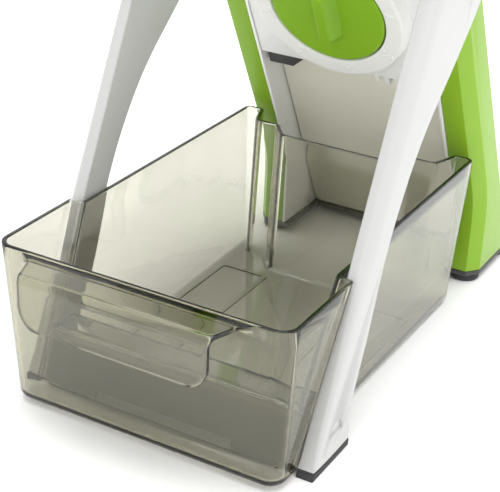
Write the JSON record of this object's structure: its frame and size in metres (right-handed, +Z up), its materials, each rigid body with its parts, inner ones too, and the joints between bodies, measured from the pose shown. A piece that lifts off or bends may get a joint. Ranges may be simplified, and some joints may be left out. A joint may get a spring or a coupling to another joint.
{
  "type": "mandoline slicer",
  "caption": "Upright folding mandoline slicer: leaning green housing with white front plate, thickness dial and press grip, white folding legs and a smoked catch drawer.",
  "frame": {"origin": "on the table, under the middle of the bounding box", "axes": "+X to the right seen from the drawer's finger pull, +Y from the finger pull back to the housing, +Z up"},
  "size_m": [0.1458, 0.2878, 0.4021],
  "materials": {
    "green_plastic": "satin moulded lime green",
    "white_plastic": "satin moulded white",
    "panel_plastic": "fine matt grey-beige",
    "dark_plastic": "matt dark grey",
    "rubber": "matt dark grey",
    "steel": "ground stainless",
    "smoked_plastic": "clear smoked olive-grey"
  },
  "bodies": {
    "housing": {"housing_shell": "green_plastic", "rear_cover": "green_plastic", "cover_screw_1": "steel", "cover_screw_2": "steel", "cover_screw_3": "steel", "cover_screw_4": "steel", "liner_right": "white_plastic", "liner_left": "white_plastic", "guide_rod_right": "steel", "guide_rod_left": "steel", "return_spring_right": "steel", "return_spring_left": "steel", "front_plate": "white_plastic", "lower_panel": "panel_plastic", "main_blade": "steel", "blade_screw_right": "steel", "blade_screw_left": "steel", "dial_ring": "white_plastic", "base_trim": "dark_plastic", "foot_front_right": "rubber", "foot_front_left": "rubber", "foot_rear_right": "rubber", "foot_rear_left": "rubber"},
    "carriage": {"carriage_frame": "white_plastic", "feed_chute": "white_plastic", "press_grip": "green_plastic"},
    "pusher": {"pusher_body": "white_plastic", "pusher_cap": "green_plastic"},
    "dial": {"dial_knob": "green_plastic", "dial_shaft": "white_plastic"},
    "board": {"thickness_board": "white_plastic"},
    "comb": {"julienne_comb": "white_plastic", "julienne_tab": "dark_plastic"},
    "legs": {"leg_right": "white_plastic", "leg_left": "white_plastic", "crossbar": "white_plastic", "foot_pad_right": "rubber", "foot_pad_left": "rubber", "pivot_pin_right": "steel", "pivot_pin_left": "steel", "pivot_cap_right": "white_plastic", "pivot_cap_left": "white_plastic"},
    "drawer": {"drawer": "smoked_plastic"}
  },
  "joints": [
    {"name": "drawer_lift", "type": "slide", "parent": "housing", "child": "drawer", "axis": [0, -0.5, 0.866], "range_m": [0, 0.28]},
    {"name": "leg_fold", "type": "hinge", "parent": "housing", "child": "legs", "pos_m": [0, 0.01749, 0.21334], "axis": [1, 0, 0], "range_deg": [0, 46]},
    {"name": "press", "type": "slide", "parent": "housing", "child": "carriage", "axis": [0, 0.4683, -0.8836], "range_m": [0, 0.065], "stiffness_N_per_m": 150, "springref_m": -0.04, "deforming": ["return_spring_right", "return_spring_left"]},
    {"name": "pusher_slide", "type": "slide", "parent": "carriage", "child": "pusher", "axis": [0, 0.708, 0.7062], "range_m": [0, 0.08]},
    {"name": "dial_turn", "type": "hinge", "parent": "housing", "child": "dial", "pos_m": [0, 0.03474, 0.15197], "axis": [0, 0.8836, 0.4683], "range_deg": [-168, 168]},
    {"name": "board_depth", "type": "slide", "parent": "housing", "child": "board", "axis": [0, 0.8836, 0.4683], "range_m": [-0.0037, 0.0037]},
    {"name": "julienne_lift", "type": "slide", "parent": "housing", "child": "comb", "axis": [0, -0.4683, 0.8836], "range_m": [0, 0.008]}
  ],
  "couplings": [
    {"joint": "leg_fold", "follows": "drawer_lift", "rad_per_m": 2.85},
    {"joint": "board_depth", "follows": "dial_turn", "m_per_rad": 0.00125}
  ]
}
